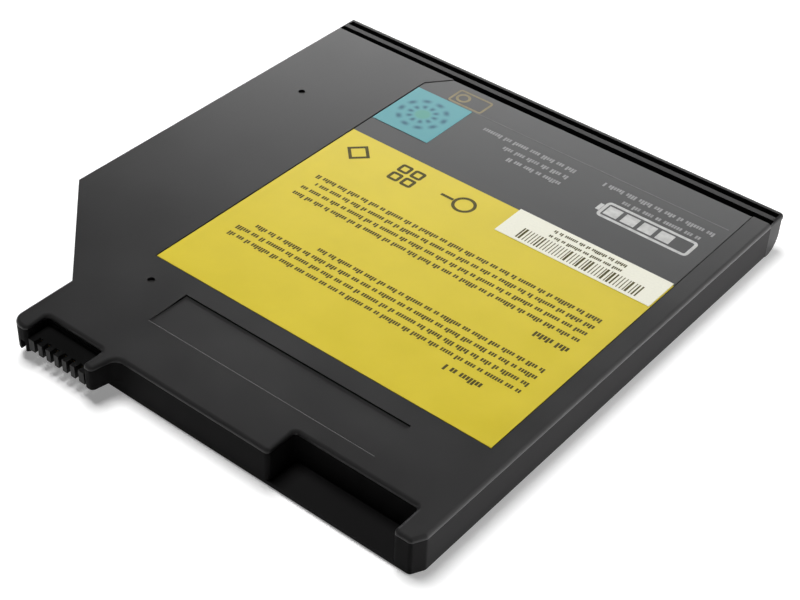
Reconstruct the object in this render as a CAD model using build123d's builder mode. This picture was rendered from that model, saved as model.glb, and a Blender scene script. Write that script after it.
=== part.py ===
from build123d import *
import os

# A slim battery pack for a laptop's drive bay. Millimetres, +Z up, +Y towards the front bezel.
# The origin lies on the underside, in the middle of the pack's outline.

# Case
width = 128.0  # across the bay
body_depth = 133.3  # from the bezel's front lip to the rear wall
height = 9.5  # from the underside to the top face
wall = 1.3  # side walls of the tray
floor = 1.0  # floor of the tray
cover = 1.1  # thickness of the cover plate
seam_inset = 0.18  # depth of the shadow line between tray and cover
seam_height = 0.12  # width of that line
top_round = 0.9  # rounding of the cover's upper edge
left_round = 0.2  # rounding of that edge along the left side and the corner cut
bottom_round = 0.6  # rounding of the tray's lower edge
corner_round = 1.1  # rounding of the upright corners
tip_share = 0.42  # most of the narrow prong's width that one of its corners may take
edge_share = 0.85  # most of a corner's radius, or of the cover's edge, that a rounding may take
lip_gap = 0.15  # play around the cover's locating lip
lip_thickness = 0.9

# Corners and rear pocket
corner_cut = 25.5  # both legs of the large cut at the rear left
corner_offset = 11.3  # straight side left between that cut and the rear wall
post_width = 5.8  # post between the pocket and the right side
post_cut_x = 1.6  # small cut on the post's corner, across
post_cut_y = 3.0  # and along the side
pocket_width = 30.6
pocket_depth = 7.8
pocket_floor = 1.4

# Connector lug
lug_depth = 5.9  # how far the lug stands out behind the rear wall
lug_lift = 3.5  # height of the lug's underside, and of the board's upper face
left_prong = 4.7
left_prong_drop = 0.8  # how much lower the left prong reaches
left_prong_round = 3.0  # its outer corner
right_prong = 2.4
right_prong_root = 3.6  # its width at the rear wall
right_prong_round = 2.2  # hollow where it meets that wall
mouth = 16.7  # clear width between the prongs
key_slot_width = 1.4
key_slot_height = 2.6
key_slot_depth = 2.6
key_slot_from_left = 2.6

# Connector
housing_gap = 0.15
housing_depth = 6.0  # length of the block inside the case
comb_height = 3.0
comb_recess = 0.3  # comb's tip, behind the ends of the prongs
contact_count = 6
contact_pitch = 2.4
slot_width = 1.1
slot_depth = 1.8
tunnel_width = 1.7
tunnel_height = 2.0
contact_sheet = 0.2  # thickness of the contacts' sheet
contact_play = 0.15
pinch_gap = 0.3  # between the leaves where they grip
pinch_from_tip = 1.1
foot_length = 2.0
foot_width = 0.9

# Front bezel
bezel_depth = 5.5
bezel_lift = 0.2
front_lip_height = 1.2
front_lip_reach = 0.5
sweep_height = 4.6  # where the front face starts to sweep back
sweep_depth = 4.0  # how far the sweep ends behind the lip
groove_depth = 1.6
front_lip_thickness = 0.8
front_groove = 1.7
front_groove_end = 0.6  # wall at each end of the front groove
ridge = 1.4
rear_groove_end = 0.3  # wall at each end of the groove behind the ridge
hook_width = 8.0
hook_thickness = 1.0
hook_catch = 0.5
hook_reach = 0.9  # past the inner face of the tray's wall
hook_gap = 0.2
hook_spacing = 42.0
hook_height = 3.4
hook_count = 3

# Cover details
label_width = 89.9
label_length = 98.75
label_sheet_thickness = 0.16
label_from_right = 5.0
label_from_front = 0.25  # behind the cover's front edge
label_cut_x = 4.6
label_cut_y = 5.8
label_bed_depth = 0.26
label_bed_gap = 0.3
foil_width = 16.6
foil_length = 17.9
foil_from_left = 0.1
foil_from_front = 8.3
sticker_thickness = 0.08
code_width = 40.6
code_length = 10.1
code_from_right = 0.3
code_from_front = 32.6
panel_width = 60.5
panel_depth = 10.9
panel_from_left = 47.2
panel_from_rear = 12.5
panel_sink = 0.45  # at its front side
panel_rear_sink = 0.3
panel_round = 0.25  # along the top of its rear side
dimple_radius = 0.85
dimple_depth = 0.7
front_dimple_from_left = 13.1
front_dimple_from_front = 29.5
rear_dimple_from_left = 38.2
rear_dimple_from_rear = 22.0

# Cells
cell_gap = 1.6
cell_rear_clear = 0.6
cell_front_clear = 0.6
tape_thickness = 0.4
foam_thickness = 0.8
foam_inset = 3.0
cell_corner = 2.0
cell_edge = 1.0
fold_thickness = 0.3
fold_height = 3.6
terrace_depth = 3.0
terrace_thickness = 0.5
tab_width = 5.0
tab_length = 4.5
tab_thickness = 0.15
tab_spread = 16.0  # between a cell's two tabs
rib_thickness = 0.8
rib_height = 3.0
lead_width = 4.0
lead_thickness = 0.2
lead_clear = 2.0  # between a lead and the edges of the board
lead_foot = 4.0  # length of a lead's end on the board
sense_width = 2.0

# Board
board_gap = 0.4
board_depth = 24.0
board_thickness = 1.0
boss_radius = 2.0
boss_inset = 3.5
pin_radius = 0.8
pin_clear = 0.1
pin_rise = 0.7
pin_inset = 2.6
front_row = 4.0  # front row of chips, in front of the board's middle
rear_row = -4.5
chip_bevel = 0.15
gauge_side = 7.0
gauge_height = 1.0
gauge_from_middle = 2.5
protection_width = 5.0
protection_length = 4.4
protection_height = 1.0
protection_from_middle = -6.0
switch_width = 5.0
switch_length = 6.0
switch_height = 1.1
switch_gap = 2.0
switch_from_right = 7.0
fuse_width = 5.4
fuse_length = 3.2
fuse_height = 1.4
fuse_from_right = 2.8
resistor_width = 6.4
resistor_length = 3.2
resistor_height = 0.6
resistor_from_left = 6.8
capacitor_width = 1.6
capacitor_length = 0.8
capacitor_height = 0.8
capacitor_pitch_x = 3.2
capacitor_pitch_y = 2.4
capacitors_from_middle = 10.5

# Places worked out from the sizes above
left = -width / 2
right = width / 2
front = (body_depth + lug_depth) / 2
rear = front - body_depth
lug_end = rear - lug_depth
case_front = front - bezel_depth
tray_top = height - cover
corner_start = rear + corner_offset + corner_cut
lug_left = left + corner_cut
mouth_left = lug_left + left_prong
mouth_right = mouth_left + mouth
mouth_middle = (mouth_left + mouth_right) / 2
pocket_right = right - post_width
pocket_left = pocket_right - pocket_width
pocket_middle = (pocket_left + pocket_right) / 2
prong_corner = (lug_left, lug_end)
prong_root = (mouth_right + right_prong_root, rear)
cut_corners = [(left, corner_start), (lug_left, rear + corner_offset)]
room_left = left + wall
room_right = right - wall
room_front = case_front - wall

hook_top = hook_height + hook_thickness + hook_catch
hook_places = [(index - (hook_count - 1) / 2) * hook_spacing for index in range(hook_count)]

label_right = right - label_from_right
label_left = label_right - label_width
label_front = case_front - label_from_front
label_rear = label_front - label_length
label_bed = height - label_bed_depth
label_top = label_bed + label_sheet_thickness

panel_left = left + panel_from_left
panel_rear = rear + panel_from_rear

lip_depth = foam_thickness - lip_gap
housing_top = tray_top - lip_depth - housing_gap
housing_back = rear + housing_depth
comb_tip = lug_end + comb_recess
slot_end = comb_tip + slot_depth
left_prong_bottom = lug_lift - left_prong_drop
contact_middle = lug_lift + comb_height / 2
contact_places = [
    mouth_middle + (index - (contact_count - 1) / 2) * contact_pitch for index in range(contact_count)
]

board_top = lug_lift
board_bottom = board_top - board_thickness
board_left = lug_left + wall + board_gap
board_right = pocket_left - wall - board_gap
board_rear = rear + wall + board_gap
board_front = board_rear + board_depth
board_x = (board_left + board_right) / 2
board_y = (board_rear + board_front) / 2
board_width = board_right - board_left
pin_places = [(board_left + pin_inset, board_y), (board_right - pin_inset, board_y)]

cell_names = ["left", "middle", "right"]
cell_pitch = (room_right - room_left) / len(cell_names)
cell_width = cell_pitch - cell_gap
cell_front = room_front - hook_reach - cell_front_clear
cell_rear = corner_start + cell_rear_clear
cell_length = cell_front - cell_rear
cell_y = (cell_front + cell_rear) / 2
cell_bottom = floor + tape_thickness
cell_top = tray_top - foam_thickness
cell_places = [room_left + cell_pitch * (index + 0.5) for index in range(len(cell_names))]
tab_bottom = board_top + lead_thickness
tab_front = cell_rear - terrace_depth
weld_y = tab_front - tab_length / 2
foot_y = board_front - lead_clear - lead_width / 2

# Plans shared by the tray, the cover and the label
with BuildSketch() as case_outline:
    with BuildLine():
        Polyline(
            (left, case_front),
            (left, corner_start),
            (lug_left, rear + corner_offset),
            (lug_left, rear),
            (right - post_cut_x, rear),
            (right, rear + post_cut_y),
            (right, case_front),
            close=True,
        )
    make_face()

with BuildSketch() as pocket_plan:
    with Locations((pocket_middle, rear)):
        Rectangle(pocket_width, pocket_depth, align=(Align.CENTER, Align.MIN))

with BuildSketch() as prong_plan:
    with Locations((lug_left, rear)):
        Rectangle(left_prong, lug_depth, align=(Align.MIN, Align.MAX))
    with BuildLine():
        Polyline(
            (mouth_right, rear),
            (mouth_right, lug_end),
            (mouth_right + right_prong, lug_end),
            prong_root,
            close=True,
        )
    make_face()

with BuildSketch() as room_plan:
    add(case_outline.sketch)
    add(pocket_plan.sketch, mode=Mode.SUBTRACT)
    offset(amount=-wall, kind=Kind.INTERSECTION, mode=Mode.REPLACE)


def soft_corners(plan, *square):
    """Corners of a plan that get the common rounding: all but those named and the two at the bezel."""
    corners = plan.vertices().sort_by(Axis.Y)[:-2]
    for place in square:
        corners = corners.sort_by_distance(place)[1:]
    return corners


upright_round = min(corner_round, tip_share * right_prong)
edge_round = min(top_round, edge_share * upright_round, edge_share * (cover - seam_height))
with BuildSketch() as floor_plan:
    add(case_outline.sketch)
    fillet(soft_corners(floor_plan, *cut_corners), upright_round)

with BuildSketch() as wall_plan:
    add(case_outline.sketch)
    add(pocket_plan.sketch, mode=Mode.SUBTRACT)
    fillet(soft_corners(wall_plan, *cut_corners), upright_round)

with BuildSketch() as cover_plan:
    add(case_outline.sketch)
    add(prong_plan.sketch)
    add(pocket_plan.sketch, mode=Mode.SUBTRACT)
    fillet(soft_corners(cover_plan, *cut_corners, prong_corner, prong_root), upright_round)
    fillet(cover_plan.vertices().sort_by_distance(prong_corner)[:1], left_prong_round)
    fillet(cover_plan.vertices().sort_by_distance(prong_root)[:1], right_prong_round)

with BuildSketch() as label_plan:
    with BuildLine():
        Polyline(
            (label_left, label_rear),
            (label_right, label_rear),
            (label_right, label_front),
            (label_left + label_cut_x, label_front),
            (label_left, label_front - label_cut_y),
            close=True,
        )
    make_face()


def save(piece, name):
    """Labels a finished piece and writes its file."""
    piece.part.label = name
    export_step(piece.part, f"parts/{name}.step")


os.makedirs("parts", exist_ok=True)

# Tray: floor, walls, lug prongs, rear pocket, ribs between the cells and seats for the board
with BuildPart() as case_tray:
    with BuildSketch():
        add(floor_plan.sketch)
    extrude(amount=pocket_floor)
    fillet(case_tray.faces().sort_by(Axis.Z)[0].edges().sort_by(Axis.Y)[:-1], bottom_round)
    with BuildSketch(Plane.XY.offset(pocket_floor)):
        add(wall_plan.sketch)
    extrude(amount=lug_lift - pocket_floor)
    with BuildSketch(Plane.XY.offset(lug_lift)):
        add(cover_plan.sketch)
    extrude(amount=tray_top - lug_lift)
    with BuildSketch(Plane.XY.offset(left_prong_bottom)):
        add(cover_plan.sketch)
        with Locations(prong_corner):
            Rectangle(left_prong, lug_depth + wall, align=(Align.MIN, Align.MIN), mode=Mode.INTERSECT)
    extrude(amount=left_prong_drop)
    with BuildSketch(Plane.XY.offset(floor)):
        add(room_plan.sketch)
    extrude(amount=tray_top - floor, mode=Mode.SUBTRACT)
    # Way between the prongs and through the rear wall for the connector's block
    with BuildSketch(Plane.XY.offset(lug_lift)):
        with Locations((mouth_middle, lug_end)):
            Rectangle(mouth, lug_depth + wall, align=(Align.CENTER, Align.MIN))
    extrude(amount=housing_top + housing_gap - lug_lift, mode=Mode.SUBTRACT)
    # Keying slot under the left prong
    with BuildSketch(Plane.XY.offset(left_prong_bottom)):
        with Locations((lug_left + key_slot_from_left, lug_end)):
            Rectangle(key_slot_width, key_slot_depth, align=(Align.MIN, Align.MIN))
    extrude(amount=key_slot_height, mode=Mode.SUBTRACT)
    # Windows for the bezel's hooks
    with BuildSketch(Plane.XZ.offset(-case_front)):
        for place in hook_places:
            with Locations((place, hook_height - hook_gap)):
                Rectangle(
                    hook_width + 2 * hook_gap,
                    hook_top - hook_height + 2 * hook_gap,
                    align=(Align.CENTER, Align.MIN),
                )
    extrude(amount=wall, mode=Mode.SUBTRACT)
    # Ribs between the cells
    with BuildSketch(Plane.XY.offset(floor)):
        for place in cell_places[:-1]:
            with Locations((place + cell_pitch / 2, cell_y)):
                Rectangle(rib_thickness, cell_length)
    extrude(amount=rib_height)
    # Bosses under the board, and two pins through it
    with BuildSketch(Plane.XY.offset(floor)):
        with Locations((board_x, board_y)):
            with GridLocations(board_width - 2 * boss_inset, board_depth - 2 * boss_inset, 2, 2):
                Circle(boss_radius)
        with Locations(*pin_places):
            Circle(boss_radius)
    extrude(amount=board_bottom - floor)
    with BuildSketch(Plane.XY.offset(board_bottom)):
        with Locations(*pin_places):
            Circle(pin_radius)
    extrude(amount=board_thickness + pin_rise)
save(case_tray, "case_tray")

# Cover: plate with a shadow line under its edge, a locating lip, the label's bed and the rear panel
with BuildPart() as top_cover:
    with BuildSketch(Plane.XY.offset(tray_top + seam_height)):
        add(cover_plan.sketch)
    extrude(amount=cover - seam_height)
    rim = top_cover.faces().sort_by(Axis.Z)[-1].edges().sort_by(Axis.Y)[:-1]
    fillet(rim.sort_by(Axis.X)[2:], edge_round)
    rim = top_cover.faces().sort_by(Axis.Z)[-1].edges().sort_by(Axis.Y)[:-1]
    fillet(rim.sort_by(Axis.X)[:2], left_round)
    with BuildSketch(Plane.XY.offset(tray_top)):
        add(cover_plan.sketch)
        offset(amount=-seam_inset, kind=Kind.INTERSECTION, mode=Mode.REPLACE)
    extrude(amount=seam_height)
    with BuildSketch(Plane.XY.offset(tray_top)):
        add(room_plan.sketch)
        offset(amount=-lip_gap, kind=Kind.INTERSECTION, mode=Mode.REPLACE)
        offset(amount=-lip_thickness, kind=Kind.INTERSECTION, mode=Mode.SUBTRACT)
    extrude(amount=-lip_depth)
    # Bed for the label
    with BuildSketch(Plane.XY.offset(label_bed)):
        add(label_plan.sketch)
        offset(amount=label_bed_gap, kind=Kind.INTERSECTION, mode=Mode.REPLACE)
    extrude(amount=label_bed_depth, mode=Mode.SUBTRACT)
    # Sunk panel near the rear edge, which gets shallower towards its rounded rear side
    with BuildSketch(Plane.YZ.offset(panel_left)):
        with BuildLine():
            brow = TangentArc(
                (panel_rear - panel_round, height), (panel_rear, height - panel_round), tangent=(1, 0)
            )
            Polyline(
                brow @ 1,
                (panel_rear, height - panel_rear_sink),
                (panel_rear + panel_depth, height - panel_sink),
                (panel_rear + panel_depth, height),
                brow @ 0,
            )
        make_face()
    extrude(amount=panel_width, mode=Mode.SUBTRACT)
    with Locations(
        (left + front_dimple_from_left, case_front - front_dimple_from_front, height),
        (left + rear_dimple_from_left, rear + rear_dimple_from_rear, height),
    ):
        Hole(dimple_radius, depth=dimple_depth)
save(top_cover, "top_cover")

# Bezel: a strip with a swept lower front, two grooves along its top and hooks at its back
with BuildPart() as front_bezel:
    with BuildSketch(Plane.YZ.offset(left)):
        with BuildLine():
            Polyline(
                (case_front, bezel_lift),
                (case_front, height),
                (front, height),
                (front, height - front_lip_height),
                (front - front_lip_reach, height - front_lip_height - front_lip_reach),
                (front - front_lip_reach, sweep_height),
            )
            TangentArc(
                (front - front_lip_reach, sweep_height),
                (front - sweep_depth, bezel_lift),
                tangent=(0, -1),
            )
            Line((front - sweep_depth, bezel_lift), (case_front, bezel_lift))
        make_face()
    extrude(amount=width)
    fillet(front_bezel.edges().filter_by(Axis.Y).group_by(Axis.Z)[-1].sort_by(Axis.X)[-1:], edge_round)
    fillet(front_bezel.edges().filter_by(Axis.Y).group_by(Axis.Z)[-1].sort_by(Axis.X)[:1], left_round)
    rear_groove = bezel_depth - front_lip_thickness - front_groove - ridge
    with BuildSketch(Plane.XY.offset(height - groove_depth)):
        with Locations((0, front - front_lip_thickness)):
            Rectangle(width - 2 * front_groove_end, front_groove, align=(Align.CENTER, Align.MAX))
        with Locations((0, case_front)):
            Rectangle(width - 2 * rear_groove_end, rear_groove, align=(Align.CENTER, Align.MIN))
    extrude(amount=groove_depth, mode=Mode.SUBTRACT)
    for place in hook_places:
        with BuildSketch(Plane.YZ.offset(place - hook_width / 2)):
            with BuildLine():
                Polyline(
                    (case_front, hook_height),
                    (case_front, hook_height + hook_thickness),
                    (room_front - hook_gap, hook_height + hook_thickness),
                    (room_front - hook_gap, hook_top),
                    (room_front - hook_reach, hook_height + hook_thickness),
                    (room_front - hook_reach, hook_height),
                    close=True,
                )
            make_face()
        extrude(amount=hook_width)
save(front_bezel, "front_bezel")

# Connector housing: a block behind the wall and a slotted comb between the prongs
with BuildPart() as connector_housing:
    with BuildSketch(Plane.XY.offset(lug_lift)):
        with Locations((mouth_middle, rear)):
            Rectangle(mouth - 2 * housing_gap, housing_depth, align=(Align.CENTER, Align.MIN))
    extrude(amount=housing_top - lug_lift)
    with BuildSketch(Plane.XY.offset(lug_lift)):
        with Locations((mouth_middle, rear)):
            Rectangle(mouth - 2 * housing_gap, rear - comb_tip, align=(Align.CENTER, Align.MAX))
        for place in contact_places:
            with Locations((place, comb_tip)):
                Rectangle(slot_width, slot_depth, align=(Align.CENTER, Align.MIN), mode=Mode.SUBTRACT)
    extrude(amount=comb_height)
    with BuildSketch(Plane.XZ.offset(-slot_end)):
        for place in contact_places:
            with Locations((place, contact_middle)):
                Rectangle(tunnel_width, tunnel_height)
    extrude(amount=-(housing_back - slot_end), mode=Mode.SUBTRACT)
save(connector_housing, "connector_housing")

# Contacts: a folded fork whose leaves pinch together behind each slot, with a foot on the board
leaf_spread = (tunnel_width - contact_sheet) / 2 - contact_play
leaf_pinch = (pinch_gap + contact_sheet) / 2
leaf_flare = leaf_pinch + contact_sheet
leaf_tip = slot_end + contact_play
leaf_height = tunnel_height - 2 * contact_play
for index, place in enumerate(contact_places):
    with BuildPart() as contact:
        with BuildSketch(Plane.XY.offset(contact_middle - leaf_height / 2)):
            with BuildLine():
                base = housing_back + contact_sheet / 2
                Polyline(
                    (place - leaf_flare, leaf_tip),
                    (place - leaf_pinch, leaf_tip + pinch_from_tip),
                    (place - leaf_spread, rear),
                    (place - leaf_spread, base),
                    (place + leaf_spread, base),
                    (place + leaf_spread, rear),
                    (place + leaf_pinch, leaf_tip + pinch_from_tip),
                    (place + leaf_flare, leaf_tip),
                )
            trace(line_width=contact_sheet)
        extrude(amount=leaf_height)
        with BuildSketch(Plane.YZ.offset(place - foot_width / 2)):
            with BuildLine():
                Polyline(
                    (housing_back, contact_middle),
                    (housing_back, board_top),
                    (housing_back + foot_length, board_top),
                    (housing_back + foot_length, board_top + contact_sheet),
                    (housing_back + contact_sheet, board_top + contact_sheet),
                    (housing_back + contact_sheet, contact_middle),
                    close=True,
                )
            make_face()
        extrude(amount=foot_width)
    save(contact, f"contact_{index + 1}")

# Cells: a pressed pouch with folded side seams and a flat seal at the tab end, tape below, foam above
for name, place in zip(cell_names, cell_places):
    with BuildPart() as cell:
        with BuildSketch(Plane.XY.offset(cell_bottom)):
            with Locations((place, cell_y)):
                RectangleRounded(cell_width - 2 * fold_thickness, cell_length, cell_corner)
        extrude(amount=cell_top - cell_bottom)
        fillet(cell.faces().sort_by(Axis.Z)[-1].edges(), cell_edge)
        with BuildSketch(Plane.XY.offset(cell_bottom)):
            for side in (-1, 1):
                with Locations((place + side * (cell_width - fold_thickness) / 2, cell_y)):
                    Rectangle(fold_thickness, cell_length - 2 * cell_corner)
        extrude(amount=fold_height)
        with BuildSketch(Plane.XY.offset(tab_bottom + tab_thickness / 2 - terrace_thickness / 2)):
            with Locations((place, cell_rear)):
                Rectangle(tab_spread + 2 * tab_width, terrace_depth, align=(Align.CENTER, Align.MAX))
        extrude(amount=terrace_thickness)
    save(cell, f"cell_{name}")

    for pole, side in (("minus", -1), ("plus", 1)):
        with BuildPart() as tab:
            with BuildSketch(Plane.XY.offset(tab_bottom)):
                with Locations((place + side * tab_spread / 2, tab_front)):
                    Rectangle(tab_width, tab_length, align=(Align.CENTER, Align.MAX))
            extrude(amount=tab_thickness)
        save(tab, f"cell_{name}_{pole}_tab")

    with BuildPart() as tape:
        with BuildSketch(Plane.XY.offset(floor)):
            with Locations((place, cell_y)):
                Rectangle(cell_width - 2 * foam_inset, cell_length - 2 * foam_inset)
        extrude(amount=tape_thickness)
    save(tape, f"cell_tape_{name}")

    with BuildPart() as foam:
        with BuildSketch(Plane.XY.offset(cell_top)):
            with Locations((place, cell_y)):
                RectangleRounded(
                    cell_width - 2 * foam_inset,
                    cell_length - 2 * foam_inset,
                    cell_corner,
                )
        extrude(amount=foam_thickness)
    save(foam, f"foam_pad_{name}")

# Nickel strips: two series links with a sense tail each, and the two leads of the pack
minus_x = [place - tab_spread / 2 for place in cell_places]
plus_x = [place + tab_spread / 2 for place in cell_places]
links = {
    "series_link_left": (plus_x[0], minus_x[1], minus_x[1]),
    "series_link_right": (plus_x[1], minus_x[2], plus_x[1]),
}
for name, (start, end, tail) in links.items():
    with BuildPart() as link:
        with BuildSketch(Plane.XY.offset(board_top)):
            with BuildLine():
                Line((start - tab_width / 2, weld_y), (end + tab_width / 2, weld_y))
            trace(line_width=lead_width)
            with BuildLine():
                Line((tail, weld_y), (tail, foot_y))
            trace(line_width=sense_width)
        extrude(amount=lead_thickness)
    save(link, name)

bend_x = board_left - lead_clear - lead_width / 2
leads = {
    "minus_lead": [
        (minus_x[0] - tab_width / 2, weld_y),
        (bend_x, weld_y),
        (bend_x, foot_y),
        (board_left + lead_foot, foot_y),
    ],
    "plus_lead": [
        (plus_x[2], tab_front),
        (plus_x[2], foot_y),
        (board_right - lead_foot, foot_y),
    ],
}
for name, route in leads.items():
    with BuildPart() as lead:
        with BuildSketch(Plane.XY.offset(board_top)):
            with BuildLine():
                Polyline(*route)
            trace(line_width=lead_width)
        extrude(amount=lead_thickness)
    save(lead, name)

# Board, drilled for the tray's two pins
with BuildPart() as circuit_board:
    with BuildSketch(Plane.XY.offset(board_bottom)):
        with Locations((board_x, board_y)):
            Rectangle(board_width, board_depth)
        with Locations(*pin_places):
            Circle(pin_radius + pin_clear, mode=Mode.SUBTRACT)
    extrude(amount=board_thickness)
save(circuit_board, "circuit_board")

# Chips on the board: place of the middle, plan size and height
discharge_x = board_right - switch_from_right - switch_width / 2
chips = {
    "gauge_chip": (board_x + gauge_from_middle, rear_row, gauge_side, gauge_side, gauge_height),
    "protection_chip": (
        board_x + protection_from_middle,
        front_row,
        protection_width,
        protection_length,
        protection_height,
    ),
    "charge_switch": (
        discharge_x - switch_width - switch_gap,
        front_row,
        switch_width,
        switch_length,
        switch_height,
    ),
    "discharge_switch": (discharge_x, front_row, switch_width, switch_length, switch_height),
    "fuse": (
        board_right - fuse_from_right - fuse_width / 2,
        rear_row,
        fuse_width,
        fuse_length,
        fuse_height,
    ),
    "sense_resistor": (
        board_left + resistor_from_left + resistor_width / 2,
        front_row,
        resistor_width,
        resistor_length,
        resistor_height,
    ),
}
for name, (chip_x, row, chip_width, chip_length, chip_height) in chips.items():
    with BuildPart() as chip:
        with BuildSketch(Plane.XY.offset(board_top)):
            with Locations((chip_x, board_y + row)):
                Rectangle(chip_width, chip_length)
        extrude(amount=chip_height)
        chamfer(chip.faces().sort_by(Axis.Z)[-1].edges(), chip_bevel)
    save(chip, name)

with BuildPart() as chip_capacitors:
    with BuildSketch(Plane.XY.offset(board_top)):
        with Locations((board_x + capacitors_from_middle, board_y + rear_row)):
            with GridLocations(capacitor_pitch_x, capacitor_pitch_y, 2, 3):
                Rectangle(capacitor_width, capacitor_length)
    extrude(amount=capacitor_height)
save(chip_capacitors, "chip_capacitors")

# Label sheet with its cut corner, and the two stickers on it
with BuildPart() as label_sheet:
    with BuildSketch(Plane.XY.offset(label_bed)):
        add(label_plan.sketch)
    extrude(amount=label_sheet_thickness)
save(label_sheet, "label_sheet")

with BuildPart() as foil_sticker:
    with BuildSketch(Plane.XY.offset(label_top)):
        with Locations((label_left + foil_from_left, label_front - foil_from_front)):
            Rectangle(foil_width, foil_length, align=(Align.MIN, Align.MAX))
    extrude(amount=sticker_thickness)
save(foil_sticker, "foil_sticker")

with BuildPart() as code_sticker:
    with BuildSketch(Plane.XY.offset(label_top)):
        with Locations((label_right - code_from_right, label_front - code_from_front)):
            Rectangle(code_width, code_length, align=(Align.MAX, Align.MAX))
    extrude(amount=sticker_thickness)
save(code_sticker, "code_sticker")
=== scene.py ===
"""Finishes, label print and stage for a slim drive-bay battery pack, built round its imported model."""

import math
import random

import bmesh
import bpy
from bpy.props import FloatProperty, FloatVectorProperty, PointerProperty
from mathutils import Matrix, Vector


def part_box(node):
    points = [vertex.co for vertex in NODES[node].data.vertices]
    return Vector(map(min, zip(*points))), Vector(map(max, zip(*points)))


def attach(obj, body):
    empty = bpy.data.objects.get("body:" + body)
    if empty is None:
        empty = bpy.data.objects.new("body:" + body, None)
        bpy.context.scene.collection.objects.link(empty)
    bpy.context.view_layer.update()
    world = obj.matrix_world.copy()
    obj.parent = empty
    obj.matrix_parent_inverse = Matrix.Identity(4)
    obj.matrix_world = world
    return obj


bl_info = {
    "name": "Drive-bay battery pack",
    "version": (1, 0, 0),
    "blender": (4, 5, 0),
    "location": "View3D > Sidebar > Battery",
    "description": "Finishes, label print and stage for a packed battery",
    "category": "Object",
}

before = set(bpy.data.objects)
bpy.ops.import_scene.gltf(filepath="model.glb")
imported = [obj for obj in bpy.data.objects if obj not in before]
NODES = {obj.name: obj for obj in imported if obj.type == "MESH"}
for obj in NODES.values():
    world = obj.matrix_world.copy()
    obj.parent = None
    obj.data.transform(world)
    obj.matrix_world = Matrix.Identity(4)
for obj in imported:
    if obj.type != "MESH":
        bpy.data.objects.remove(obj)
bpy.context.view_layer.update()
LABEL_LOW, LABEL_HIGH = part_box("label_sheet")
FOIL_LOW, FOIL_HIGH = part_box("foil_sticker")
CODE_LOW, CODE_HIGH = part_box("code_sticker")

MM = 0.001

# Noise seldom leaves this range, so colours and roughnesses are spread over it.
NOISE_LOW = 0.3
NOISE_HIGH = 0.7
BUMP_STRENGTH = 0.5

# Gloss of the printed sheets, as the shader's specular level.
LABEL_GLOSS = 0.28
FOIL_GLOSS = 0.2
INK_GLOSS = 0.1

# Colours inside the case.
CONTACT_GOLD = (0.78, 0.56, 0.22)
POUCH_SILVER = (0.62, 0.62, 0.64)
STRIP_NICKEL = (0.60, 0.57, 0.53)
TAPE_WHITE = (0.78, 0.77, 0.73)
FOAM_GREY = (0.12, 0.12, 0.125)
BOARD_GREEN = (0.016, 0.11, 0.045)
CHIP_BLACK = (0.016, 0.016, 0.017)
FUSE_CREAM = (0.62, 0.60, 0.54)
RESISTOR_BLACK = (0.03, 0.03, 0.034)
CAPACITOR_BROWN = (0.42, 0.28, 0.15)

# Rolling marks in sheet metal are this much longer along X.
ROLLING_STRETCH = (0.05, 1.0, 1.0)

# Rosette on the foil: how many petals go round, how far its rings are apart, and where it fades out.
PETALS_ROUND = 10
RING_SPACING = 2.6 * MM
ROSETTE_EDGE = (6.2 * MM, 7.4 * MM)
HEART_EDGE = (1.4 * MM, 2.6 * MM)

# Flat shapes of ink.
RING_SIDES = 40
CORNER_SEGMENTS = 5

# Plain rows of dashes: the dashes' spacing, width and extra reach are shares of their height.
LETTER_PITCH = 0.6
LETTER_WIDTH = 0.44
TALL_REACH = 0.38
TALL_SHARE = 0.25
WORD_LENGTHS = (2, 3, 7, 2, 4, 3, 5, 4, 6, 3, 8)
# Keeps the edge of a dash from being counted with the dash before it.
ROUNDING = 0.1

# Each paragraph: where its heading and its first line are from the label's rear edge, how far the heading
# is set in, and how much of the longest line each line fills.
PARAGRAPHS = (
    {"heading": 12.8 * MM, "set_in": 6.9 * MM, "first_line": 16.5 * MM, "shares": (1.0, 1.0, 0.958, 0.758)},
    {"heading": 33.2 * MM, "set_in": 0.0, "first_line": 37.1 * MM, "shares": (0.99, 0.99, 0.97, 0.99)},
)
HEADING_SPAN = 9.5 * MM
HEADING_SCALE = 1.25
HEADING_SEED = 2

# Row of marks: its distance behind the header, and each mark's distance from the label's left side.
MARK_LINE = 6.8 * MM
DIAMOND_AT = 7.25 * MM
SQUARES_AT = 19.7 * MM
MINUS_AT = 33.6 * MM
RING_AT = 38.4 * MM
SQUARE_CORNER = 0.7 * MM
# Shares of the marks' height.
SQUARE_SIDE = 0.46
SQUARE_PITCH = 0.54
RING_RADIUS = 0.42
MINUS_LENGTH = 0.5

# Charge gauge: its place from the label's right side and front edge, its frame, its levels and its pole.
GAUGE_AT = (15.5 * MM, 19.75 * MM)
GAUGE_SIZE = (24 * MM, 6.2 * MM)
GAUGE_CORNER = 1.2 * MM
GAUGE_STROKE = 0.8 * MM
LEVEL_SIZE = (3.6 * MM, 3.4 * MM)
LEVEL_PITCH = 4.6 * MM
LEVEL_COUNT = 4
FIRST_LEVEL = -9 * MM
POLE_AT = -12.6 * MM
POLE_SIZE = (1.0 * MM, 2.6 * MM)

# Each row on the header: its distance from the label's right side and front edge, and its length.
HEADER_ROWS = (
    (4.5 * MM, 15.0 * MM, 20.8 * MM),
    (2.8 * MM, 11.65 * MM, 29.6 * MM),
    (40.0 * MM, 18.55 * MM, 15.3 * MM),
    (40.0 * MM, 15.4 * MM, 18.7 * MM),
    (40.0 * MM, 12.1 * MM, 27.8 * MM),
)
HEADER_ROW_HEIGHT = 1.15 * MM
HAIRLINE_AT = (40.8 * MM, 7.95 * MM)
HAIRLINE_SIZE = (79 * MM, 0.3 * MM)

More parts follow.
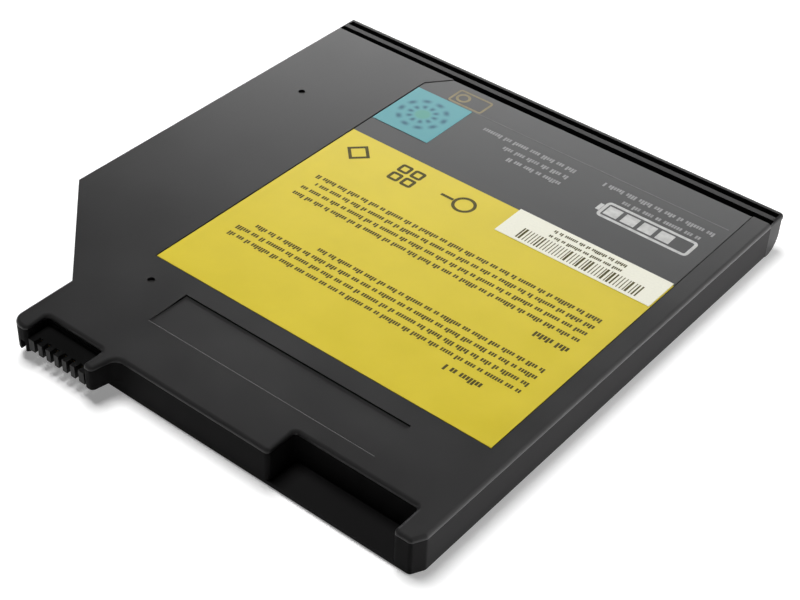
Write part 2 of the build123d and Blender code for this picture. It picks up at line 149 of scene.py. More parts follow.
# Small tan mark: its place from the label's left side and front edge, its frame and the ring in it.
TAN_AT = (13.6 * MM, 4.8 * MM)
TAN_SIZE = (10.2 * MM, 6.0 * MM)
TAN_CORNER = 0.9 * MM
TAN_STROKE = 0.6 * MM
TAN_RING_AT = -2.2 * MM
TAN_RING_RADIUS = 1.9 * MM
TAN_RING_STROKE = 0.7 * MM

# Bars on the paper sticker, from its right side and rear edge. Some are one or two steps wider.
BARS_MARGIN = 4.2 * MM
BARS_LINE = 2.9 * MM
BAR_PITCH = 0.8 * MM
BAR_SIZE = (0.22 * MM, 4.0 * MM)
BAR_COUNT = 40
BAR_STEP = 0.16 * MM
BAR_STEPS = (0, 0, 1, 2)
BAR_SEED = 5
# Each row above the bars: its distance from the sticker's rear edge, and its seed.
CODE_ROWS = ((6.3 * MM, 6), (8.4 * MM, 8))
CODE_ROW_MARGIN = 11 * MM
CODE_ROW_SPAN = 19 * MM
CODE_ROW_HEIGHT = 0.8 * MM

# Lamps: where each one is and how large, in metres, and its power in watts.
REAR_SOFTBOX = {"place": (-0.245, 0.56, 0.20), "size": (0.68, 0.30), "power": 3.6}
KEY_SOFTBOX = {"place": (-0.22, 0.04, 0.87), "size": (0.42, 0.42), "power": 8.7}
SIDE_STRIP = {"place": (0.30, 0.25, 0.012), "size": (0.30, 0.02), "power": 6.5}

# Floor: its sides, its rim, and the distances from the pack's middle over which it goes to plain white.
FLOOR_SIDES = 64
FLOOR_RIM = 0.05
FLOOR_ROUGHNESS = 0.9
GLOW_FROM = 0.10
GLOW_TO = 0.45

CAMERA_CLIP = 0.01


def size_of(name, description, millimetres):
    """A length that a user can change, given here in millimetres."""
    return FloatProperty(
        name=name, description=description, default=millimetres * MM, min=0.0,
        subtype="DISTANCE", unit="LENGTH", precision=5,
    )


def colour_of(name, description, default):
    """A colour that a user can change."""
    return FloatVectorProperty(
        name=name, description=description, default=default, subtype="COLOR", size=3, min=0.0, max=1.0,
    )


class BatteryFinishes(bpy.types.PropertyGroup):
    """Colours of the pack's surfaces: their own colours, and in the tray's darker charcoal also painted
    shade.
    """

    cover: colour_of("Cover", "Charcoal of the moulded cover", (0.0230, 0.0226, 0.0229))
    # The tray's charcoal is partly its own colour and partly painted shade: it is set darker than the
    # cover's so that the rear wall and the pocket read as shaded.
    tray: colour_of("Tray", "Charcoal of the moulded tray", (0.0102, 0.0100, 0.0102))
    bezel: colour_of("Bezel", "Charcoal of the front strip", (0.0080, 0.0078, 0.0080))
    connector: colour_of("Connector", "Black of the contact comb", (0.006, 0.006, 0.006))
    field: colour_of("Label field", "Yellow of the label's rear part", (0.610, 0.485, 0.018))
    header: colour_of("Label header", "Charcoal of the label's front part", (0.0295, 0.0300, 0.0305))
    foil: colour_of("Foil", "Pale teal of the square foil sticker", (0.088, 0.30, 0.332))
    foil_petal: colour_of("Foil petals", "Deeper teal of the foil's rosette", (0.025, 0.105, 0.16))
    foil_heart: colour_of("Foil heart", "Green at the middle of the foil's rosette", (0.085, 0.295, 0.245))
    paper: colour_of("Paper", "Warm white of the narrow sticker", (0.76, 0.75, 0.64))


class BatteryPrint(bpy.types.PropertyGroup):
    """Sizes and colours of what is printed on the label and the stickers."""

    ink_dark: colour_of("Dark ink", "Ink on the yellow field and the paper sticker", (0.070, 0.058, 0.011))
    ink_pale: colour_of("Pale ink", "Ink of the charge gauge on the header", (0.50, 0.50, 0.49))
    ink_grey: colour_of("Grey ink", "Ink of the rows on the header", (0.26, 0.26, 0.26))
    ink_faint: colour_of("Faint ink", "Ink of the hairline on the header", (0.135, 0.135, 0.135))
    ink_tan: colour_of("Tan ink", "Ink of the small outlined mark", (0.25, 0.21, 0.12))
    film: size_of("Ink film", "Thickness of the ink", 0.012)
    header_depth: size_of("Header", "Depth of the charcoal part of the label", 33.15)
    text_height: size_of("Text height", "Height of a short dash in the paragraphs", 1.05)
    text_pitch: size_of("Line pitch", "Distance from one line of a paragraph to the next", 2.75)
    text_margin: size_of("Text margin", "Distance of the paragraphs from the label's side", 5.1)
    text_span: size_of("Text span", "Longest line of the paragraphs", 79.4)
    mark_size: size_of("Mark size", "Height of each mark in the row of marks", 7.0)
    mark_stroke: size_of("Mark stroke", "Width of the marks' lines", 0.8)


class BatteryStage(bpy.types.PropertyGroup):
    """Camera and floor."""

    camera_place: FloatVectorProperty(
        name="Camera place", description="Where the camera stands", size=3,
        default=(0.1878, -0.2341, 0.2394), subtype="TRANSLATION", unit="LENGTH",
    )
    camera_turn: FloatVectorProperty(
        name="Camera turn", description="How the camera is turned", size=3,
        default=(math.radians(50.54), math.radians(-1.99), math.radians(39.04)),
        subtype="EULER", unit="ROTATION",
    )
    camera_lens: FloatProperty(
        name="Lens", description="Focal length in millimetres", default=77.43, unit="CAMERA",
    )
    floor_colour: colour_of("Floor", "Pale floor", (0.88, 0.88, 0.88))
    floor_radius: size_of("Floor radius", "Radius of the round floor", 4000)
    floor_glow: FloatProperty(
        name="Floor glow", description="White that the camera sees added to the floor close to the pack",
        default=0.27, min=0.0,
    )


def finishes():
    """The colours that the scene holds for the pack's surfaces."""
    return bpy.context.scene.battery_finishes


def printing():
    """The sizes and colours that the scene holds for the print."""
    return bpy.context.scene.battery_print


# Materials


def add_node(tree, kind, sockets=None, **settings):
    """Adds a shader node. A socket is given a value, or another node's output to be linked to."""
    node = tree.nodes.new("ShaderNode" + kind)
    for name, value in settings.items():
        setattr(node, name, value)
    for name, value in (sockets or {}).items():
        if isinstance(value, bpy.types.NodeSocket):
            tree.links.new(value, node.inputs[name])
        else:
            node.inputs[name].default_value = value
    return node


def maths(tree, operation, *values):
    """The result of a sum on one or two values."""
    return add_node(tree, "Math", dict(enumerate(values)), operation=operation).outputs["Value"]


def distance(tree, place):
    """How far a place is from the origin."""
    return add_node(tree, "VectorMath", {0: place}, operation="LENGTH").outputs["Value"]


def eased(tree, value, first, last, at_first, at_last):
    """Goes smoothly from at_first to at_last as value goes from first to last."""
    sockets = {
        "Value": value, "From Min": first, "From Max": last, "To Min": at_first, "To Max": at_last,
    }
    return add_node(tree, "MapRange", sockets, interpolation_type="SMOOTHSTEP").outputs["Result"]


def mixed(tree, factor, first, second):
    """The first colour where factor is 0, and the second where it is 1."""
    return add_node(tree, "MixRGB", {"Fac": factor, "Color1": first, "Color2": second}).outputs["Color"]


def new_material(name):
    """A material with its tree, its main shader and the piece's own coordinates in metres."""
    material = bpy.data.materials.new(name)
    material.use_nodes = True
    tree = material.node_tree
    shader = tree.nodes["Principled BSDF"]
    place = add_node(tree, "TexCoord").outputs["Object"]
    return material, tree, shader, place


def noise(tree, place, grain, detail=2.0):
    """Noise whose blobs are about grain metres wide."""
    sockets = {"Vector": place, "Scale": 1 / grain, "Detail": detail}
    return add_node(tree, "TexNoise", sockets).outputs["Fac"]


def shades(tree, factor, colour, spread):
    """The colour made darker and lighter by spread, as factor goes from low to high."""
    ramp = add_node(tree, "ValToRGB", {"Fac": factor})
    dark, light = ramp.color_ramp.elements
    dark.position = NOISE_LOW
    light.position = NOISE_HIGH
    dark.color = [*(c * (1 - spread) for c in colour), 1.0]
    light.color = [*(min(c * (1 + spread), 1.0) for c in colour), 1.0]
    return ramp.outputs["Color"]


def between(tree, factor, low, high):
    """Factor's usual range spread over low to high."""
    sockets = {
        "Value": factor, "From Min": NOISE_LOW, "From Max": NOISE_HIGH, "To Min": low, "To Max": high,
    }
    return add_node(tree, "MapRange", sockets).outputs["Result"]


def bumped(tree, shader, height, depth):
    """Raises the surface by depth metres where height is 1."""
    bump = add_node(tree, "Bump", {"Height": height, "Distance": depth, "Strength": BUMP_STRENGTH})
    tree.links.new(bump.outputs["Normal"], shader.inputs["Normal"])


def moulded_plastic(name, colour, roughness, gloss):
    """Satin moulded plastic: spark-eroded grain, faint flow clouds and uneven sheen."""
    material, tree, shader, place = new_material(name)
    clouds = noise(tree, place, grain=14 * MM, detail=3.0)
    grain = noise(tree, place, grain=0.22 * MM)
    sheen = between(tree, clouds, low=roughness - 0.03, high=roughness + 0.03)
    tree.links.new(shades(tree, clouds, colour, spread=0.06), shader.inputs["Base Color"])
    tree.links.new(sheen, shader.inputs["Roughness"])
    shader.inputs["Specular IOR Level"].default_value = gloss
    bumped(tree, shader, grain, depth=0.012 * MM)
    return material


def metal(name, colour, roughness, brush):
    """Bare sheet metal with fine rolling marks along X."""
    material, tree, shader, place = new_material(name)
    stretched = add_node(tree, "Mapping", {"Vector": place, "Scale": ROLLING_STRETCH})
    marks = noise(tree, stretched.outputs["Vector"], grain=brush, detail=3.0)
    sheen = between(tree, marks, low=roughness - 0.06, high=roughness + 0.08)
    tree.links.new(shades(tree, marks, colour, spread=0.08), shader.inputs["Base Color"])
    tree.links.new(sheen, shader.inputs["Roughness"])
    shader.inputs["Metallic"].default_value = 1.0
    bumped(tree, shader, marks, depth=0.004 * MM)
    return material


def matte_sheet(name, colour, grain, depth, roughness=0.8, spread=0.15):
    """Foam, tape, paper, laminate or resin: a matte body with its own grain."""
    material, tree, shader, place = new_material(name)
    cells = noise(tree, place, grain, detail=4.0)
    sheen = between(tree, cells, low=roughness - 0.08, high=min(roughness + 0.08, 1.0))
    tree.links.new(shades(tree, cells, colour, spread), shader.inputs["Base Color"])
    tree.links.new(sheen, shader.inputs["Roughness"])
    bumped(tree, shader, cells, depth)
    return material


def printed_label(name, field, header, border):
    """Vinyl label: a charcoal header in front of border, a yellow field behind it."""
    material, tree, shader, place = new_material(name)
    along = add_node(tree, "SeparateXYZ", {"Vector": place}).outputs["Y"]
    in_header = maths(tree, "GREATER_THAN", along, border)
    clouds = noise(tree, place, grain=9 * MM, detail=3.0)
    grain = noise(tree, place, grain=0.3 * MM)
    field_shades = shades(tree, clouds, field, spread=0.03)
    header_shades = shades(tree, clouds, header, spread=0.06)
    tree.links.new(mixed(tree, in_header, field_shades, header_shades), shader.inputs["Base Color"])
    tree.links.new(between(tree, clouds, low=0.35, high=0.41), shader.inputs["Roughness"])
    shader.inputs["Specular IOR Level"].default_value = LABEL_GLOSS
    bumped(tree, shader, grain, depth=0.008 * MM)
    return material


def patterned_foil(name, colours, centre):
    """Pale teal foil with a rosette of deeper petals round a green heart."""
    material, tree, shader, place = new_material(name)
    about = add_node(tree, "VectorMath", {0: place, 1: centre}, operation="SUBTRACT").outputs["Vector"]
    away = distance(tree, about)
    turn = add_node(tree, "TexGradient", {"Vector": about}, gradient_type="RADIAL").outputs["Fac"]
    waves = []
    for factor, rate in ((turn, PETALS_ROUND * math.tau), (away, math.tau / RING_SPACING)):
        wave = maths(tree, "SINE", maths(tree, "MULTIPLY", factor, rate))
        waves.append(add_node(tree, "MapRange", {"Value": wave, "From Min": -1.0}).outputs["Result"])
    lattice = maths(tree, "MULTIPLY", *waves)
    petal = maths(tree, "MULTIPLY", lattice, eased(tree, away, *ROSETTE_EDGE, at_first=1.0, at_last=0.0))
    heart = eased(tree, away, *HEART_EDGE, at_first=1.0, at_last=0.0)
    rosette = mixed(tree, petal, (*colours.foil, 1), (*colours.foil_petal, 1))
    tree.links.new(mixed(tree, heart, rosette, (*colours.foil_heart, 1)), shader.inputs["Base Color"])
    tree.links.new(between(tree, petal, low=0.34, high=0.44), shader.inputs["Roughness"])
    shader.inputs["Specular IOR Level"].default_value = FOIL_GLOSS
    bumped(tree, shader, petal, depth=0.006 * MM)
    return material


def ink(name, colour):
    """Screen-printed ink: slightly patchy, a little duller than the sheet."""
    material, tree, shader, place = new_material(name)
    patches = noise(tree, place, grain=1.5 * MM, detail=3.0)
    tree.links.new(shades(tree, patches, colour, spread=0.18), shader.inputs["Base Color"])
    tree.links.new(between(tree, patches, low=0.42, high=0.54), shader.inputs["Roughness"])
    shader.inputs["Specular IOR Level"].default_value = INK_GLOSS
    return material


def dress(material, *names):
    """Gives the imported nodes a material."""
    for name in names:
        NODES[name].data.materials.clear()
        NODES[name].data.materials.append(material)


def nodes_with(word):
    """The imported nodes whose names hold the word."""
    return [name for name in NODES if word in name]


# Modelling


def start(add_primitive, name, **where):
    """Adds a primitive on its own and opens it in edit mode."""
    bpy.ops.object.select_all(action="DESELECT")
    add_primitive(**where)
    piece = bpy.context.active_object
    piece.name = name
    bpy.ops.object.mode_set(mode="EDIT")
    return piece


def pick(piece, wanted):
    """Selects the vertices whose place passes the test, and nothing else."""
    bpy.ops.mesh.select_mode(type="VERT")
    bpy.ops.mesh.select_all(action="DESELECT")
    mesh = bmesh.from_edit_mesh(piece.data)
    for vertex in mesh.verts:
        vertex.select = wanted(vertex.co)
    mesh.select_flush_mode()
    bmesh.update_edit_mesh(piece.data)


def cut_out(stroke):
    """Leaves only the rim of the flat shape in edit mode."""
    bpy.ops.mesh.inset(thickness=stroke)
    bpy.ops.mesh.delete(type="FACE")


def raise_film(thickness):
    """Gives the flat shape in edit mode its thickness and closes edit mode."""
    bpy.ops.mesh.select_all(action="SELECT")
    bpy.ops.mesh.extrude_region_move(TRANSFORM_OT_translate={"value": (0, 0, thickness)})
    bpy.ops.mesh.select_all(action="SELECT")
    bpy.ops.mesh.normals_make_consistent(inside=False)
    bpy.ops.object.mode_set(mode="OBJECT")
    bpy.ops.object.transform_apply(location=True, rotation=True, scale=True)


def bar(name, centre, size, film):
    """A flat bar of ink."""
    piece = start(bpy.ops.mesh.primitive_plane_add, name, size=1, location=centre)
    bpy.ops.transform.resize(value=(size[0], size[1], 1))
    raise_film(film)
    return piece


def outline(name, centre, size, corner, stroke, film):
    """A flat frame of ink with rounded corners."""
    piece = start(bpy.ops.mesh.primitive_plane_add, name, size=1, location=centre)
    bpy.ops.transform.resize(value=(size[0], size[1], 1))
    bpy.ops.mesh.bevel(offset=corner, segments=CORNER_SEGMENTS, affect="VERTICES")
    cut_out(stroke)
    raise_film(film)
    return piece


def ring(name, centre, radius, stroke, film, sides=RING_SIDES):
    """A flat ring of ink, or a diamond when it has four sides."""
    piece = start(
        bpy.ops.mesh.primitive_circle_add, name, vertices=sides, radius=radius, fill_type="NGON",
        location=centre,
    )
    cut_out(stroke)
    raise_film(film)
    return piece


def repeat(piece, step, count):
    """Copies the piece along a line with an array that is then applied."""
    array = piece.modifiers.new("row", "ARRAY")
    array.use_relative_offset = False
    array.use_constant_offset = True
    array.constant_offset_displace = step
    array.count = count
    bpy.context.view_layer.objects.active = piece
    bpy.ops.object.modifier_apply(modifier=array.name)


def text_row(name, first, span, height, film, seed):
    """A row of upright dashes towards -X: one is drawn and repeated, then gaps are rubbed out.

    The seed says which word comes first and which dashes are tall.
    """
    pitch = LETTER_PITCH * height
    width = LETTER_WIDTH * height
    count = round(span / pitch)
    piece = bar(name, (first[0] - width / 2, first[1], first[2]), (width, height), film)
    repeat(piece, (-pitch, 0, 0), count)
    chance = random.Random(seed)
    gaps = set()
    place = -1
    for word in range(count):
        place += WORD_LENGTHS[(word + seed) % len(WORD_LENGTHS)] + 1
        gaps.add(place)
    tall = {letter for letter in range(count) if chance.random() < TALL_SHARE}

    def letter_at(point):
        return int((first[0] - point.x) / pitch + ROUNDING)

    bpy.ops.object.mode_set(mode="EDIT")
    pick(piece, lambda point: letter_at(point) in gaps)
    bpy.ops.mesh.delete(type="VERT")
    pick(piece, lambda point: point.y < first[1] and letter_at(point) in tall)
    bpy.ops.transform.translate(value=(0, -TALL_REACH * height, 0))
    bpy.ops.object.mode_set(mode="OBJECT")
    return piece


def as_one(name, pieces, material):
    """Joins the pieces, gives them their material and hangs them from the root empty."""
    bpy.ops.object.select_all(action="DESELECT")
    for piece in pieces:
        piece.select_set(True)
    bpy.context.view_layer.objects.active = pieces[0]
    if len(pieces) > 1:
        bpy.ops.object.join()
    whole = bpy.context.active_object
    whole.name = name
    whole.data.name = name
    whole.data.materials.clear()
    whole.data.materials.append(material)
    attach(whole, "root")


# Operators


class BATTERY_OT_case(bpy.types.Operator):
    """Gives the tray and the cover their moulded finish"""

    bl_idname = "battery.case"
    bl_label = "Case"

    def execute(self, context):
        colours = finishes()
        dress(moulded_plastic("cover_plastic", colours.cover, roughness=0.34, gloss=0.2), "top_cover")
        # The tray's darker charcoal is partly painted shade on the rear wall and the pocket.
        dress(moulded_plastic("tray_plastic_painted_shade", colours.tray, roughness=0.45, gloss=0.015), "case_tray")
        return {"FINISHED"}


class BATTERY_OT_bezel(bpy.types.Operator):
    """Gives the front strip its moulded finish"""

    bl_idname = "battery.bezel"
    bl_label = "Bezel"

    def execute(self, context):
        plastic = moulded_plastic("bezel_plastic", finishes().bezel, roughness=0.38, gloss=0.11)
        dress(plastic, "front_bezel")
        return {"FINISHED"}


class BATTERY_OT_connector(bpy.types.Operator):
    """Gives the comb its black resin and the contacts their plating"""

    bl_idname = "battery.connector"
    bl_label = "Connector"

    def execute(self, context):
        resin = moulded_plastic("comb_resin", finishes().connector, roughness=0.5, gloss=0.15)
        plating = metal("contact_plating", CONTACT_GOLD, roughness=0.28, brush=0.2 * MM)
        dress(resin, "connector_housing")
        dress(plating, *nodes_with("contact_"))
        return {"FINISHED"}


class BATTERY_OT_cells(bpy.types.Operator):
    """Gives the cells, their strips, tape and foam their finishes"""

    bl_idname = "battery.cells"
    bl_label = "Cells"

    def execute(self, context):
        tabs = nodes_with("_tab")
        tapes = nodes_with("cell_tape_")
        pouches = [name for name in nodes_with("cell_") if name not in tabs + tapes]
        laminate = metal("pouch_laminate", POUCH_SILVER, roughness=0.42, brush=1.2 * MM)
        nickel = metal("nickel_strip", STRIP_NICKEL, roughness=0.32, brush=0.5 * MM)
        tape = matte_sheet("white_tape", TAPE_WHITE, grain=0.4 * MM, depth=0.01 * MM)
        foam = matte_sheet("grey_foam", FOAM_GREY, grain=0.35 * MM, depth=0.08 * MM, roughness=0.92)
        dress(laminate, *pouches)
        dress(nickel, *tabs, *nodes_with("link"), *nodes_with("lead"))
        dress(tape, *tapes)
        dress(foam, *nodes_with("foam_pad_"))
        return {"FINISHED"}


class BATTERY_OT_board(bpy.types.Operator):
    """Gives the circuit board and what is on it their finishes"""

    bl_idname = "battery.board"
    bl_label = "Board"

    def execute(self, context):
        board = matte_sheet("board_laminate", BOARD_GREEN, grain=0.9 * MM, depth=0.01 * MM, roughness=0.4)
        resin = matte_sheet("chip_resin", CHIP_BLACK, grain=0.15 * MM, depth=0.006 * MM, roughness=0.6)
        dress(board, "circuit_board")
        dress(resin, *nodes_with("chip"), *nodes_with("switch"))
        for name, colour, grain, node in (
            ("fuse_body", FUSE_CREAM, 0.3 * MM, "fuse"),
            ("resistor_body", RESISTOR_BLACK, 0.2 * MM, "sense_resistor"),
            ("capacitor_body", CAPACITOR_BROWN, 0.2 * MM, "chip_capacitors"),
        ):
            dress(matte_sheet(name, colour, grain, depth=0.004 * MM, roughness=0.5), node)
        return {"FINISHED"}


class BATTERY_OT_label(bpy.types.Operator):
    """Gives the label and its two stickers their sheets' colours"""

    bl_idname = "battery.label"
    bl_label = "Label"

    def execute(self, context):
        colours = finishes()
        border = LABEL_HIGH.y - printing().header_depth
        middle = (FOIL_LOW + FOIL_HIGH) / 2
        paper = matte_sheet(
            "sticker_paper", colours.paper, grain=0.5 * MM, depth=0.006 * MM, roughness=0.6, spread=0.03,
        )
        dress(printed_label("label_vinyl", colours.field, colours.header, border), "label_sheet")
        dress(patterned_foil("teal_foil", colours, middle), "foil_sticker")
        dress(paper, "code_sticker")
        return {"FINISHED"}


class BATTERY_OT_paragraphs(bpy.types.Operator):
    """Prints two paragraphs of plain dashes, each with a heading, on the yellow field"""

    bl_idname = "battery.paragraphs"
    bl_label = "Paragraphs"

    def execute(self, context):
        layout = printing()
        film = layout.film
        right = LABEL_HIGH.x - layout.text_margin
        rear = LABEL_LOW.y
        top = LABEL_HIGH.z
        rows = []
        for paragraph in PARAGRAPHS:
            seed = len(rows)
            place = (right - paragraph["set_in"], rear + paragraph["heading"], top)
            height = HEADING_SCALE * layout.text_height
            rows.append(text_row("heading", place, HEADING_SPAN, height, film, seed + HEADING_SEED))
            for line, share in enumerate(paragraph["shares"]):
                place = (right, rear + paragraph["first_line"] + line * layout.text_pitch, top)
                span = share * layout.text_span
                rows.append(text_row("line", place, span, layout.text_height, film, seed + line))
        as_one("paragraph_print", rows, ink("dark_ink", layout.ink_dark))
        return {"FINISHED"}


class BATTERY_OT_marks(bpy.types.Operator):
    """Prints a row of plain marks on the yellow field"""

    bl_idname = "battery.marks"
    bl_label = "Marks"

    def execute(self, context):
        layout = printing()
        film = layout.film
        size = layout.mark_size
        stroke = layout.mark_stroke
        left = LABEL_LOW.x
        line = LABEL_HIGH.y - layout.header_depth - MARK_LINE
        top = LABEL_HIGH.z
        side = SQUARE_SIDE * size
        first_square = (left + SQUARES_AT, line - size / 4, top)
        diamond = ring("diamond", (left + DIAMOND_AT, line, top), size / 2, stroke, film, sides=4)
        squares = outline("squares", first_square, (side, side), SQUARE_CORNER, stroke, film)
        repeat(squares, (SQUARE_PITCH * size, 0, 0), 2)
        repeat(squares, (0, SQUARE_PITCH * size, 0), 2)
        circle = ring("ring", (left + RING_AT, line, top), RING_RADIUS * size, stroke, film)
        minus = bar("minus", (left + MINUS_AT, line, top), (MINUS_LENGTH * size, stroke), film)
        pieces = [diamond, squares, circle, minus]
        as_one("mark_print", pieces, ink("mark_ink", layout.ink_dark))
        return {"FINISHED"}


class BATTERY_OT_header_print(bpy.types.Operator):
    """Prints the header's charge gauge, its rows and hairline, and the small tan mark"""

    bl_idname = "battery.header_print"
    bl_label = "Header print"

    def execute(self, context):
        layout = printing()
        self.gauge(layout)
        self.rows(layout)
        self.tan_mark(layout)
        return {"FINISHED"}

    def gauge(self, layout):
        """A plain charge gauge: a frame, some filled levels and a pole."""
        film = layout.film
        x = LABEL_HIGH.x - GAUGE_AT[0]
        y = LABEL_HIGH.y - GAUGE_AT[1]
        top = LABEL_HIGH.z
        case = outline("gauge", (x, y, top), GAUGE_SIZE, GAUGE_CORNER, GAUGE_STROKE, film)
        levels = bar("level", (x + FIRST_LEVEL, y, top), LEVEL_SIZE, film)
        repeat(levels, (LEVEL_PITCH, 0, 0), LEVEL_COUNT)
        pole = bar("pole", (x + POLE_AT, y, top), POLE_SIZE, film)
        as_one("gauge_print", [case, levels, pole], ink("pale_ink", layout.ink_pale))

    def rows(self, layout):
        """Rows of plain dashes, and the hairline in front of them."""
        film = layout.film
        right = LABEL_HIGH.x
        front = LABEL_HIGH.y
        top = LABEL_HIGH.z
        rows = []
        for seed, (from_right, from_front, span) in enumerate(HEADER_ROWS):
            place = (right - from_right, front - from_front, top)
            rows.append(text_row("row", place, span, HEADER_ROW_HEIGHT, film, seed))
        as_one("header_print", rows, ink("grey_ink", layout.ink_grey))
        middle = (right - HAIRLINE_AT[0], front - HAIRLINE_AT[1], top)
        hairline = bar("hairline", middle, HAIRLINE_SIZE, film)
        as_one("hairline_print", [hairline], ink("faint_ink", layout.ink_faint))

    def tan_mark(self, layout):
        """A plain frame with a ring in it."""
        film = layout.film
        x = LABEL_LOW.x + TAN_AT[0]
        y = LABEL_HIGH.y - TAN_AT[1]
        top = LABEL_HIGH.z
        border = outline("frame", (x, y, top), TAN_SIZE, TAN_CORNER, TAN_STROKE, film)
        circle = ring("disc", (x + TAN_RING_AT, y, top), TAN_RING_RADIUS, TAN_RING_STROKE, film)
        as_one("tan_mark_print", [border, circle], ink("tan_ink", layout.ink_tan))


class BATTERY_OT_code_bars(bpy.types.Operator):
    """Prints plain bars and two short rows on the paper sticker"""

    bl_idname = "battery.code_bars"
    bl_label = "Code bars"

    def execute(self, context):
        layout = printing()
        film = layout.film
        right = CODE_HIGH.x
        rear = CODE_LOW.y
        top = CODE_HIGH.z
        bars = self.bars((right - BARS_MARGIN, rear + BARS_LINE, top), film)
        rows = []
        for line, seed in CODE_ROWS:
            place = (right - CODE_ROW_MARGIN, rear + line, top)
            rows.append(text_row("row", place, CODE_ROW_SPAN, CODE_ROW_HEIGHT, film, seed))
        as_one("code_print", [bars, *rows], ink("code_ink", layout.ink_dark))
        return {"FINISHED"}

    def bars(self, first, film):
        """A row of bars towards -X, evenly spaced, some of them widened."""
        bars = bar("bars", first, BAR_SIZE, film)
        repeat(bars, (-BAR_PITCH, 0, 0), BAR_COUNT)
        chance = random.Random(BAR_SEED)
        steps = [chance.choice(BAR_STEPS) for _ in range(BAR_COUNT)]

        def far_edge(point, wider):
            number = round((first[0] - point.x) / BAR_PITCH)
            return point.x < first[0] - number * BAR_PITCH and steps[number] == wider

        bpy.ops.object.mode_set(mode="EDIT")
        for wider in (1, 2):
            pick(bars, lambda point: far_edge(point, wider))
            bpy.ops.transform.translate(value=(-BAR_STEP * wider, 0, 0))
        bpy.ops.object.mode_set(mode="OBJECT")
        return bars


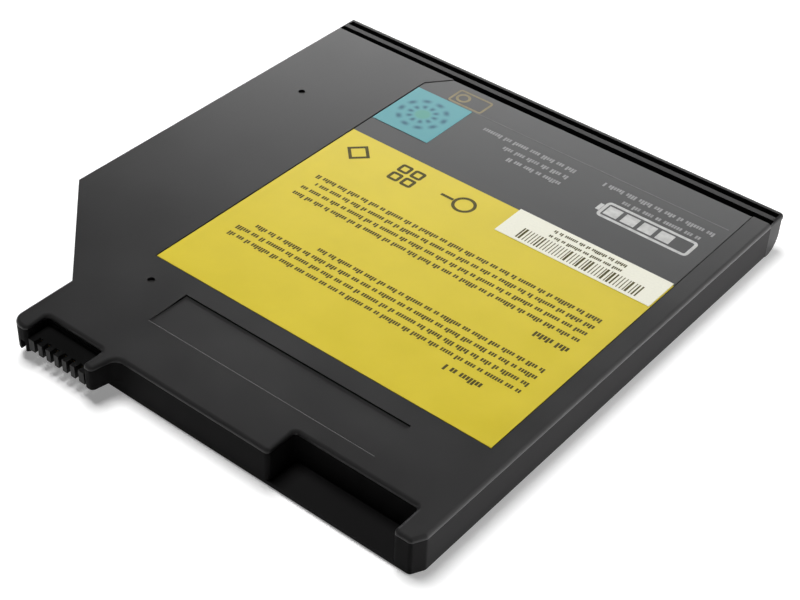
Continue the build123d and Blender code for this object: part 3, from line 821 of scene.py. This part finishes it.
class BATTERY_OT_stage(bpy.types.Operator):
    """Sets the floor, the world, the lamps and the camera"""

    bl_idname = "battery.stage"
    bl_label = "Stage"

    def execute(self, context):
        stage = context.scene.battery_stage
        self.floor(stage)
        self.world()
        # The rear softbox gives only the sheen on the top, and the other two give only plain light.
        rear = self.lamp("rear_softbox", **REAR_SOFTBOX)
        rear.visible_diffuse = False
        key = self.lamp("key_softbox", **KEY_SOFTBOX)
        key.visible_glossy = False
        side = self.lamp("side_strip", **SIDE_STRIP)
        side.visible_glossy = False
        bpy.ops.object.camera_add(location=stage.camera_place, rotation=stage.camera_turn)
        camera = context.active_object
        camera.data.lens = stage.camera_lens
        camera.data.clip_start = CAMERA_CLIP
        context.scene.camera = camera
        context.scene.view_settings.view_transform = "Standard"
        return {"FINISHED"}

    def floor(self, stage):
        """A wide round floor with a turned-down rim. It glows a little, and more away from the pack."""
        piece = start(
            bpy.ops.mesh.primitive_circle_add, "floor", vertices=FLOOR_SIDES, radius=stage.floor_radius,
            fill_type="NGON",
        )
        bpy.ops.mesh.extrude_region_move(TRANSFORM_OT_translate={"value": (0, 0, -FLOOR_RIM)})
        bpy.ops.mesh.select_all(action="SELECT")
        bpy.ops.mesh.normals_make_consistent(inside=False)
        bpy.ops.object.mode_set(mode="OBJECT")
        material, tree, shader, place = new_material("floor_paper")
        mottle = noise(tree, place, grain=60 * MM)
        tree.links.new(shades(tree, mottle, stage.floor_colour, spread=0.01), shader.inputs["Base Color"])
        shader.inputs["Roughness"].default_value = FLOOR_ROUGHNESS
        shader.inputs["Specular IOR Level"].default_value = 0.0
        shader.inputs["Emission Color"].default_value = (1, 1, 1, 1)
        rays = add_node(tree, "LightPath").outputs
        seen = rays["Is Camera Ray"]
        for other in ("Is Glossy Ray", "Is Transmission Ray"):
            seen = maths(tree, "MAXIMUM", seen, rays[other])
        level = eased(tree, distance(tree, place), GLOW_FROM, GLOW_TO, stage.floor_glow, at_last=1.0)
        tree.links.new(maths(tree, "MULTIPLY", seen, level), shader.inputs["Emission Strength"])
        piece.data.materials.append(material)

    def world(self):
        """Pale low down beyond the bezel and dim elsewhere, so that the top shows no flat glare."""
        world = bpy.data.worlds.new("studio")
        world.use_nodes = True
        tree = world.node_tree
        background = tree.nodes["Background"]
        place = add_node(tree, "TexCoord").outputs["Generated"]
        way = add_node(tree, "SeparateXYZ", {"Vector": place}).outputs
        beyond = eased(tree, way["Y"], first=-0.4, last=0.9, at_first=0.15, at_last=0.7)
        low = eased(tree, way["Z"], first=0.15, last=0.6, at_first=1.0, at_last=0.25)
        tree.links.new(maths(tree, "MULTIPLY", beyond, low), background.inputs["Strength"])
        bpy.context.scene.world = world

    def lamp(self, name, place, size, power):
        """A rectangular softbox that faces the pack."""
        toward = Vector(place).to_track_quat("Z", "Y").to_euler()
        bpy.ops.object.light_add(type="AREA", location=place, rotation=toward)
        lamp = bpy.context.active_object
        lamp.name = name
        lamp.data.shape = "RECTANGLE"
        lamp.data.size, lamp.data.size_y = size
        lamp.data.energy = power
        return lamp


class BATTERY_PT_sidebar(bpy.types.Panel):
    """Lists the pack's pieces and the values that shape them"""

    bl_idname = "BATTERY_PT_sidebar"
    bl_label = "Battery pack"
    bl_space_type = "VIEW_3D"
    bl_region_type = "UI"
    bl_category = "Battery"

    def draw(self, context):
        for operator in OPERATORS:
            self.layout.operator(operator.bl_idname)
        for group_name in GROUPS:
            group = getattr(context.scene, group_name)
            for name in group.__annotations__:
                self.layout.prop(group, name)


GROUPS = {
    "battery_finishes": BatteryFinishes,
    "battery_print": BatteryPrint,
    "battery_stage": BatteryStage,
}
OPERATORS = (
    BATTERY_OT_case,
    BATTERY_OT_bezel,
    BATTERY_OT_connector,
    BATTERY_OT_cells,
    BATTERY_OT_board,
    BATTERY_OT_label,
    BATTERY_OT_paragraphs,
    BATTERY_OT_marks,
    BATTERY_OT_header_print,
    BATTERY_OT_code_bars,
    BATTERY_OT_stage,
)
CLASSES = (*GROUPS.values(), *OPERATORS, BATTERY_PT_sidebar)


def register():
    for entry in CLASSES:
        bpy.utils.register_class(entry)
    for name, group in GROUPS.items():
        setattr(bpy.types.Scene, name, PointerProperty(type=group))


def unregister():
    for name in GROUPS:
        delattr(bpy.types.Scene, name)
    for entry in reversed(CLASSES):
        bpy.utils.unregister_class(entry)


def main():
    register()
    bpy.ops.battery.case()
    bpy.ops.battery.bezel()
    bpy.ops.battery.connector()
    bpy.ops.battery.cells()
    bpy.ops.battery.board()
    bpy.ops.battery.label()
    bpy.ops.battery.paragraphs()
    bpy.ops.battery.marks()
    bpy.ops.battery.header_print()
    bpy.ops.battery.code_bars()
    bpy.ops.battery.stage()


if __name__ == "__main__":
    main()
